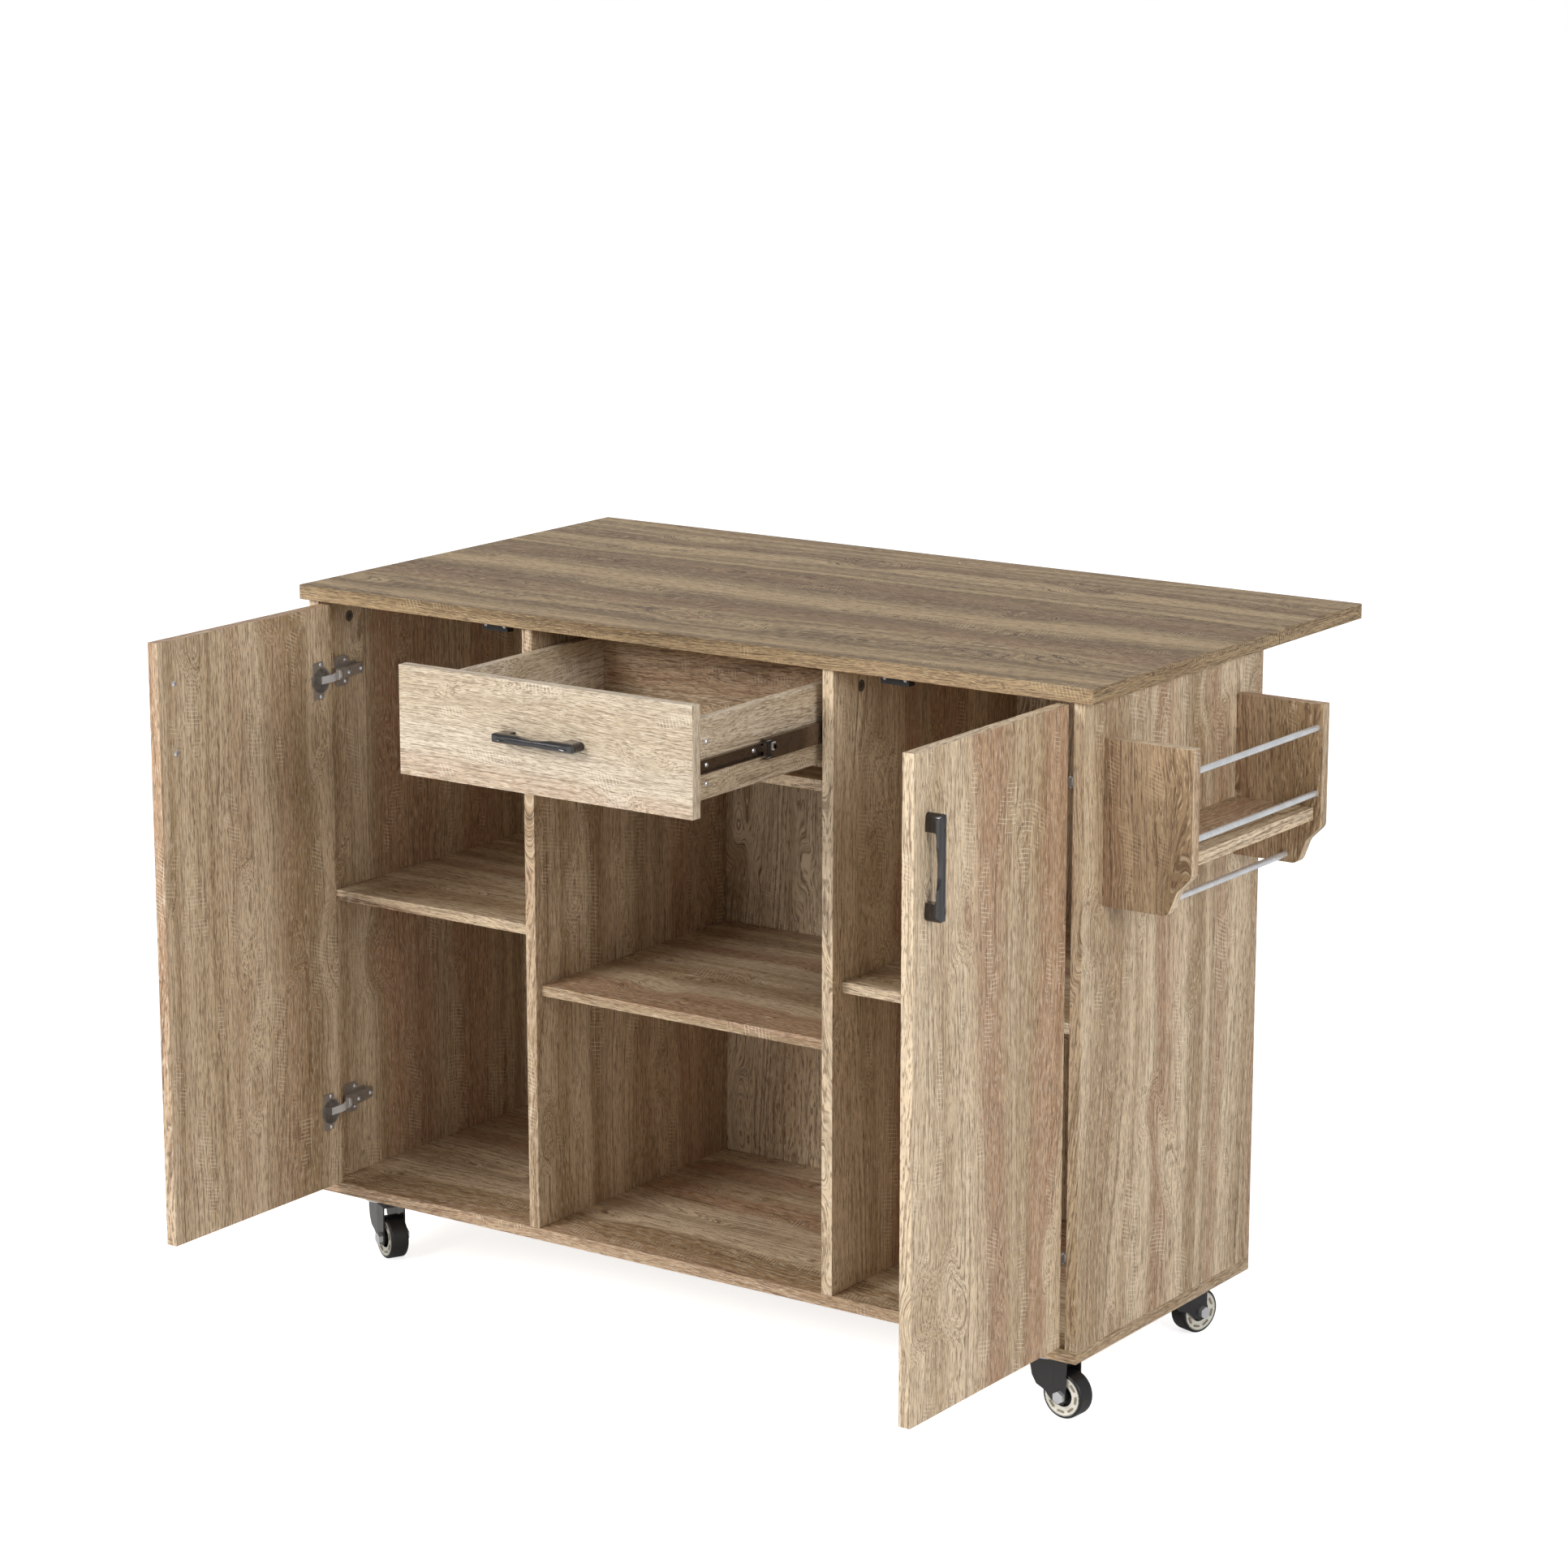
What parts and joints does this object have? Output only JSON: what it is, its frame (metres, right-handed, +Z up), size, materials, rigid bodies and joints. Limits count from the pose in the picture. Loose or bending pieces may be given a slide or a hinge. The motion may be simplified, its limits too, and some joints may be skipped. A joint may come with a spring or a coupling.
{
  "type": "kitchen island",
  "caption": "Kitchen island on casters with a rear drop leaf, end cupboards with hinged doors, a drawer over open shelves, and a side rack with rods and a towel bar.",
  "frame": {"origin": "on the floor under the middle of the whole footprint, doors open and leaf raised", "axes": "+X to the right along the worktop, +Y to the back where the leaf is, +Z up"},
  "size_m": [1.323, 1.0028, 0.92],
  "materials": {
    "oak_board": "light grey-brown oak-look laminate, grain upright, fine embossed pores",
    "worktop_board": "darker oak-look laminate, grain along the worktop",
    "bright_zinc": "bright zinc-plated steel",
    "satin_rod": "satin silver rod",
    "dark_bronze": "dark bronze plated sheet",
    "gloss_black": "glossy black enamel",
    "black_plastic": "black moulded plastic",
    "black_steel": "black coated pressed steel",
    "caster_wheel": "black tread on a cream moulded hub"
  },
  "bodies": {
    "cabinet": {"tabletop": "worktop_board", "side_left": "oak_board", "side_right": "oak_board", "bottom_panel": "oak_board", "divider_left": "oak_board", "divider_right": "oak_board", "back_panel": "oak_board", "shelf_left": "oak_board", "shelf_middle": "oak_board", "shelf_right": "oak_board", "drawer_rail": "oak_board", "shelf_pins": "bright_zinc", "cam_locks": "bright_zinc", "door_catches": "black_plastic", "hinge_arms_left": "dark_bronze", "hinge_arms_right": "dark_bronze", "slide_outer": "dark_bronze", "rack_side_front": "oak_board", "rack_side_back": "oak_board", "rack_shelf": "oak_board", "rack_rods": "satin_rod", "leaf_hinges_fixed": "dark_bronze", "bracket_legs": "black_steel", "caster_plates": "bright_zinc"},
    "leaf": {"drop_leaf": "worktop_board", "leaf_hinges_moving": "dark_bronze", "bracket_arms": "black_steel"},
    "brace_left": {"brace_left": "black_steel"},
    "brace_right": {"brace_right": "black_steel"},
    "door_left": {"door_left": "oak_board", "handle_left": "gloss_black", "hinge_cups_left": "dark_bronze"},
    "door_right": {"door_right": "oak_board", "handle_right": "gloss_black", "hinge_cups_right": "dark_bronze"},
    "links_left": {"hinge_links_left": "bright_zinc"},
    "links_right": {"hinge_links_right": "bright_zinc"},
    "drawer": {"drawer_front": "oak_board", "drawer_side_left": "oak_board", "drawer_side_right": "oak_board", "drawer_back": "oak_board", "drawer_bottom": "oak_board", "drawer_handle": "gloss_black", "slide_inner": "dark_bronze"},
    "slide_middles": {"slide_middle": "dark_bronze"},
    "balls_outer": {"slide_balls_outer": "bright_zinc"},
    "balls_inner": {"slide_balls_inner": "bright_zinc"},
    "caster_fl": {"caster_yoke_fl": "black_steel"},
    "wheel_fl": {"caster_wheel_fl": "caster_wheel"},
    "caster_fr": {"caster_yoke_fr": "black_steel"},
    "wheel_fr": {"caster_wheel_fr": "caster_wheel"},
    "caster_bl": {"caster_yoke_bl": "black_steel"},
    "wheel_bl": {"caster_wheel_bl": "caster_wheel"},
    "caster_br": {"caster_yoke_br": "black_steel"},
    "wheel_br": {"caster_wheel_br": "caster_wheel"}
  },
  "joints": [
    {"name": "drawer_slide", "type": "slide", "parent": "cabinet", "child": "drawer", "axis": [0, -1, 0], "range_m": [-0.266, 0.08]},
    {"name": "slide_middle_travel", "type": "slide", "parent": "cabinet", "child": "slide_middles", "axis": [0, -1, 0], "range_m": [-0.133, 0.04]},
    {"name": "balls_outer_travel", "type": "slide", "parent": "cabinet", "child": "balls_outer", "axis": [0, -1, 0], "range_m": [-0.0665, 0.02]},
    {"name": "balls_inner_travel", "type": "slide", "parent": "cabinet", "child": "balls_inner", "axis": [0, -1, 0], "range_m": [-0.1995, 0.06]},
    {"name": "door_left_hinge", "type": "hinge", "parent": "cabinet", "child": "door_left", "pos_m": [-0.62865, -0.17025, 0.505], "axis": [0, 0, 1], "range_deg": [-15, 90]},
    {"name": "door_right_hinge", "type": "hinge", "parent": "cabinet", "child": "door_right", "pos_m": [0.52165, -0.17025, 0.505], "axis": [0, 0, 1], "range_deg": [-90, 15]},
    {"name": "links_left_pivot", "type": "hinge", "parent": "cabinet", "child": "links_left", "pos_m": [-0.6185, -0.1466, 0.505], "axis": [0, 0, 1], "range_deg": [-15, 90]},
    {"name": "links_right_pivot", "type": "hinge", "parent": "cabinet", "child": "links_right", "pos_m": [0.5115, -0.1466, 0.505], "axis": [0, 0, 1], "range_deg": [-90, 15]},
    {"name": "leaf_hinge", "type": "hinge", "parent": "cabinet", "child": "leaf", "pos_m": [-0.0535, 0.2779, 0.897], "axis": [1, 0, 0], "range_deg": [-90, 0]},
    {"name": "brace_left_pivot", "type": "hinge", "parent": "cabinet", "child": "brace_left", "pos_m": [-0.285, 0.2684, 0.807], "axis": [1, 0, 0], "range_deg": [-135, 0]},
    {"name": "brace_right_pivot", "type": "hinge", "parent": "cabinet", "child": "brace_right", "pos_m": [0.178, 0.2684, 0.807], "axis": [1, 0, 0], "range_deg": [-135, 0]},
    {"name": "swivel_fl", "type": "hinge", "parent": "cabinet", "child": "caster_fl", "pos_m": [-0.5825, -0.1226, 0.08], "axis": [0, 0, 1], "continuous": true},
    {"name": "roll_fl", "type": "hinge", "parent": "caster_fl", "child": "wheel_fl", "pos_m": [-0.55577, -0.13622, 0.02925], "axis": [0.454, 0.891, 0], "continuous": true},
    {"name": "swivel_fr", "type": "hinge", "parent": "cabinet", "child": "caster_fr", "pos_m": [0.4755, -0.1226, 0.08], "axis": [0, 0, 1], "continuous": true},
    {"name": "roll_fr", "type": "hinge", "parent": "caster_fr", "child": "wheel_fr", "pos_m": [0.50539, -0.12521, 0.02925], "axis": [0.0872, 0.9962, 0], "continuous": true},
    {"name": "swivel_bl", "type": "hinge", "parent": "cabinet", "child": "caster_bl", "pos_m": [-0.5785, 0.2014, 0.08], "axis": [0, 0, 1], "continuous": true},
    {"name": "roll_bl", "type": "hinge", "parent": "caster_bl", "child": "wheel_bl", "pos_m": [-0.5635, 0.22738, 0.02925], "axis": [-0.866, 0.5, 0], "continuous": true},
    {"name": "swivel_br", "type": "hinge", "parent": "cabinet", "child": "caster_br", "pos_m": [0.4715, 0.2014, 0.08], "axis": [0, 0, 1], "continuous": true},
    {"name": "roll_br", "type": "hinge", "parent": "caster_br", "child": "wheel_br", "pos_m": [0.48027, 0.23009, 0.02925], "axis": [-0.9563, 0.2924, 0], "continuous": true}
  ],
  "couplings": [
    {"joint": "slide_middle_travel", "follows": "drawer_slide", "ratio": 0.5},
    {"joint": "balls_outer_travel", "follows": "drawer_slide", "ratio": 0.25},
    {"joint": "balls_inner_travel", "follows": "drawer_slide", "ratio": 0.75},
    {"joint": "links_left_pivot", "follows": "door_left_hinge", "ratio": 1},
    {"joint": "links_right_pivot", "follows": "door_right_hinge", "ratio": 1},
    {"joint": "brace_left_pivot", "follows": "leaf_hinge", "ratio": 1.5},
    {"joint": "brace_right_pivot", "follows": "leaf_hinge", "ratio": 1.5}
  ]
}
